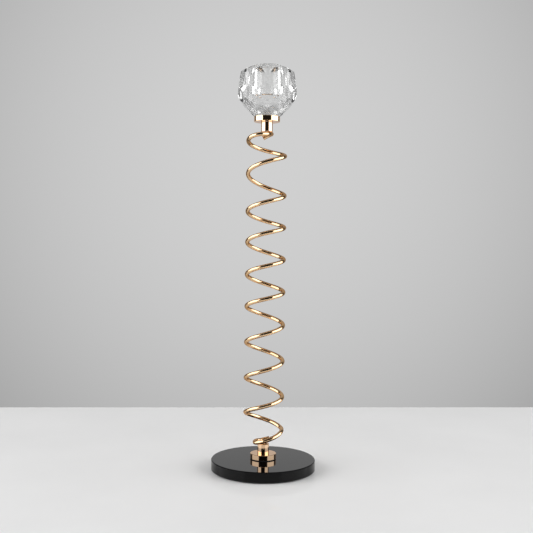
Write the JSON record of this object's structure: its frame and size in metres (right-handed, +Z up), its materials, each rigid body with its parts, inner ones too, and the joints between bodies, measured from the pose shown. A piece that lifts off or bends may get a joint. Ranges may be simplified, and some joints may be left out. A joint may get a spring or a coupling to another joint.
{
  "type": "spiral candle holder",
  "caption": "Tall candle holder: faceted crystal bowl with a candle bore on a plate, a wound spiral rod between short stems, and a round black glass base on a pad.",
  "frame": {"origin": "on the table, under the middle of the round base", "axes": "+Z up along the stems and the candle bore; the rod's cut upper end points towards -X, behind the axis"},
  "size_m": [0.1, 0.1, 0.3867],
  "materials": {
    "felt": "black felt",
    "black_glass": "polished opaque black glass",
    "rubber": "matte black rubber",
    "steel": "zinc-plated steel",
    "gold_metal": "polished warm champagne gold plating",
    "nylon": "natural nylon",
    "crystal": "clear cut crystal, polished flat facets"
  },
  "bodies": {
    "stand": {"base_pad": "felt", "base_disc": "black_glass", "screw_cushion": "rubber", "base_washer": "steel", "base_screw": "steel", "foot_gasket": "rubber", "foot_flange": "gold_metal", "lower_stem": "gold_metal", "spiral": "gold_metal", "upper_stem": "gold_metal"},
    "washer": {"bowl_washer": "nylon"},
    "bowl": {"bowl_plate": "gold_metal", "bowl_stud": "steel", "crystal_bowl": "crystal"}
  },
  "joints": [
    {"name": "bowl_rise", "type": "slide", "parent": "stand", "child": "washer", "axis": [0, 0, 1], "range_m": [0, 0.00701]},
    {"name": "bowl_turn", "type": "hinge", "parent": "washer", "child": "bowl", "pos_m": [0, 0, 0.3337], "axis": [0, 0, 1], "range_deg": [0, 2520]}
  ],
  "couplings": [
    {"joint": "bowl_rise", "follows": "bowl_turn", "m_per_rad": 0.00015915}
  ]
}
